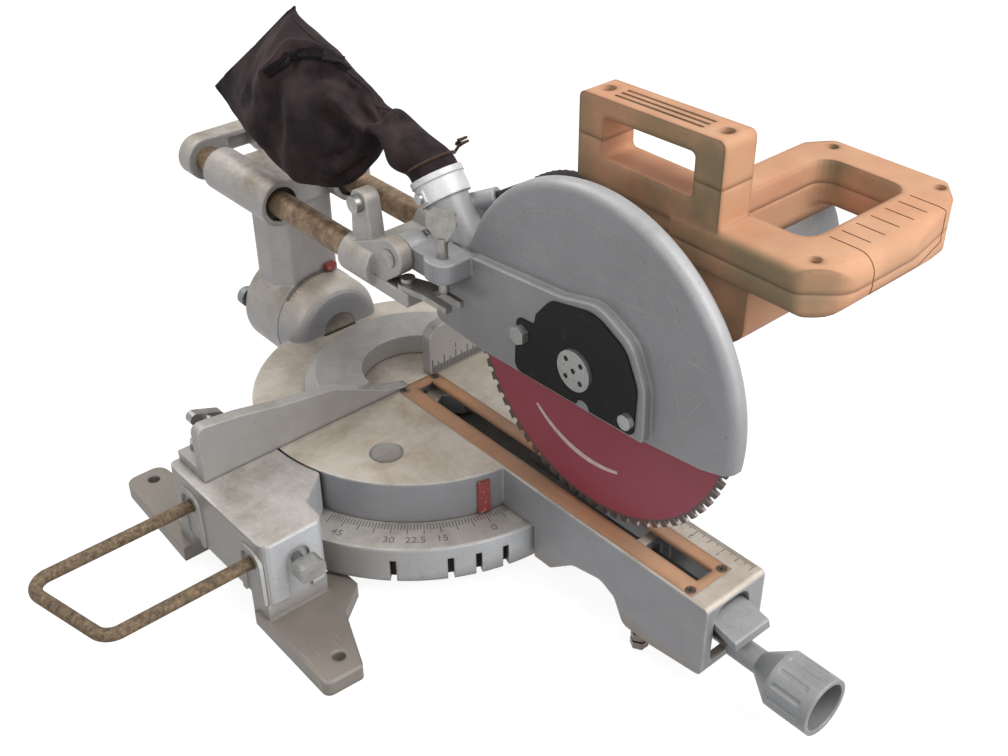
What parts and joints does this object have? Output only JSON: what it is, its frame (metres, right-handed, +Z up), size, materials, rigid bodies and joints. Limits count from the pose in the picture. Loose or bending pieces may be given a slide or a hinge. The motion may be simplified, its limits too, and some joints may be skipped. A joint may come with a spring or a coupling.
{
  "type": "sliding compound mitre saw",
  "caption": "Sliding compound mitre saw: turntable base with bevelling rail slide, hinged guarded blade head, loop handle, dust bag and wire extension bar.",
  "frame": {"origin": "on the bench under the mitre pivot", "axes": "+X to the operator's right, +Y from the operator to the rear, +Z up"},
  "size_m": [0.5698, 0.69, 0.3759],
  "materials": {
    "cast_aluminium": "as cast, dulled",
    "zinc_steel": "zinc plated, worn",
    "rusty_steel": "rusted",
    "orange_plastic": "faded, grimy",
    "black_plastic": "moulded",
    "black_steel": "black paint",
    "red_blade": "maroon coating",
    "red_pointer": "red paint",
    "copper": "bare",
    "bag_cloth": "woven",
    "black_rubber": "moulded"
  },
  "bodies": {
    "base": {"base_casting": "cast_aluminium", "pivot_bolt": "zinc_steel", "fence": "cast_aluminium", "fence_bolts": "zinc_steel"},
    "bar": {"extension_bar": "rusty_steel"},
    "bar_clamp": {"bar_clamp_screw": "zinc_steel"},
    "vise_clamp": {"vise_screw": "zinc_steel"},
    "table": {"turntable": "cast_aluminium", "kerf_insert": "orange_plastic", "insert_screws": "zinc_steel", "mitre_pointer": "red_pointer", "support_bolt": "zinc_steel", "bevel_pivot_bolt": "zinc_steel"},
    "knob": {"mitre_knob": "cast_aluminium", "clamp_rod": "zinc_steel"},
    "lever": {"detent_lever": "cast_aluminium"},
    "bevel_lock": {"bevel_lock_lever": "cast_aluminium"},
    "arm": {"rail_housing": "cast_aluminium", "rail_bushes": "black_plastic", "bevel_pointer": "red_pointer"},
    "slide_lock": {"slide_lock_knob": "black_plastic"},
    "carriage": {"slide_rails": "rusty_steel", "rail_end_bracket": "cast_aluminium", "carriage": "cast_aluminium", "hinge_pin": "zinc_steel", "hinge_spring": "zinc_steel", "carriage_screws": "zinc_steel"},
    "stop": {"stop_plate": "zinc_steel"},
    "head": {"guard_casting": "cast_aluminium", "centre_cover": "black_steel", "guard_hub": "zinc_steel", "guard_fasteners": "zinc_steel", "spout_collar": "cast_aluminium", "dust_bag": "bag_cloth", "bag_clip": "rusty_steel", "gear_case": "cast_aluminium", "shaft_bearings": "zinc_steel", "motor_can": "cast_aluminium", "motor_end_cap": "cast_aluminium", "brush_caps": "black_plastic", "stator": "copper", "housing_lower": "orange_plastic", "housing_upper": "orange_plastic", "carry_cap": "orange_plastic", "handle_screws": "zinc_steel", "trigger_switch": "black_plastic", "lead_boot": "black_rubber", "power_lead": "black_rubber"},
    "depth": {"depth_screw": "zinc_steel"},
    "lock_button": {"spindle_lock": "black_plastic"},
    "trigger_key": {"trigger": "black_plastic"},
    "spindle_set": {"blade": "red_blade", "spindle": "zinc_steel", "blade_flanges": "zinc_steel", "arbor_bolt": "zinc_steel", "driven_gear": "zinc_steel"},
    "armature": {"armature_shaft": "zinc_steel", "rotor_core": "zinc_steel", "commutator": "copper", "cooling_fan": "black_plastic"}
  },
  "joints": [
    {"name": "mitre_turn", "type": "hinge", "parent": "base", "child": "table", "pos_m": [0, 0, 0.085], "axis": [0, 0, 1], "range_deg": [-45, 45]},
    {"name": "bar_slide", "type": "slide", "parent": "base", "child": "bar", "axis": [1, 0, 0], "range_m": [-0.025, 0.022]},
    {"name": "bar_clamp_turn", "type": "hinge", "parent": "base", "child": "bar_clamp", "pos_m": [-0.184, -0.1, 0.061], "axis": [0, 1, 0], "range_deg": [-180, 180]},
    {"name": "vise_screw_turn", "type": "hinge", "parent": "base", "child": "vise_clamp", "pos_m": [-0.169, 0.04, 0.102], "axis": [0, 1, 0], "range_deg": [-180, 180]},
    {"name": "mitre_knob_turn", "type": "hinge", "parent": "table", "child": "knob", "pos_m": [0.004, -0.4, 0.042], "axis": [0, 1, 0], "range_deg": [-180, 180]},
    {"name": "detent_lever_press", "type": "hinge", "parent": "table", "child": "lever", "pos_m": [0, -0.309, 0.057], "axis": [1, 0, 0], "range_deg": [0, 4], "stiffness_Nm_per_rad": 2, "springref_deg": -1.72},
    {"name": "bevel_lock_turn", "type": "hinge", "parent": "table", "child": "bevel_lock", "pos_m": [0, 0.2, 0.085], "axis": [0, 1, 0], "range_deg": [-30, 60]},
    {"name": "bevel_tilt", "type": "hinge", "parent": "table", "child": "arm", "pos_m": [0, 0.17, 0.085], "axis": [0, -1, 0], "range_deg": [0, 45]},
    {"name": "slide_lock_turn", "type": "hinge", "parent": "arm", "child": "slide_lock", "pos_m": [0.06, 0.1735, 0.216], "axis": [1, 0, 0], "range_deg": [-180, 180]},
    {"name": "rail_slide", "type": "slide", "parent": "arm", "child": "carriage", "axis": [0, 1, 0], "range_m": [-0.024, 0.1]},
    {"name": "stop_plate_swing", "type": "hinge", "parent": "carriage", "child": "stop", "pos_m": [-0.038, -0.048, 0.215], "axis": [0, 0, -1], "range_deg": [0, 60]},
    {"name": "head_chop", "type": "hinge", "parent": "carriage", "child": "head", "pos_m": [0, -0.035, 0.235], "axis": [-1, 0, 0], "range_deg": [0, 42], "deforming": ["dust_bag"]},
    {"name": "depth_screw_turn", "type": "hinge", "parent": "head", "child": "depth", "pos_m": [-0.031, -0.082, 0.245], "axis": [0, 0, 1], "range_deg": [-180, 180]},
    {"name": "spindle_lock_press", "type": "slide", "parent": "head", "child": "lock_button", "axis": [0, -1, 0], "range_m": [0, 0.004], "stiffness_N_per_m": 500},
    {"name": "trigger_press", "type": "slide", "parent": "head", "child": "trigger_key", "axis": [0, -1, 0], "range_m": [0, 0.006], "stiffness_N_per_m": 600},
    {"name": "blade_spin", "type": "hinge", "parent": "head", "child": "spindle_set", "pos_m": [0, -0.207, 0.2095], "axis": [1, 0, 0], "continuous": true},
    {"name": "armature_spin", "type": "hinge", "parent": "head", "child": "armature", "pos_m": [0, -0.207, 0.2445], "axis": [1, 0, 0], "continuous": true}
  ],
  "couplings": [
    {"joint": "armature_spin", "follows": "blade_spin", "ratio": -3.6667}
  ]
}
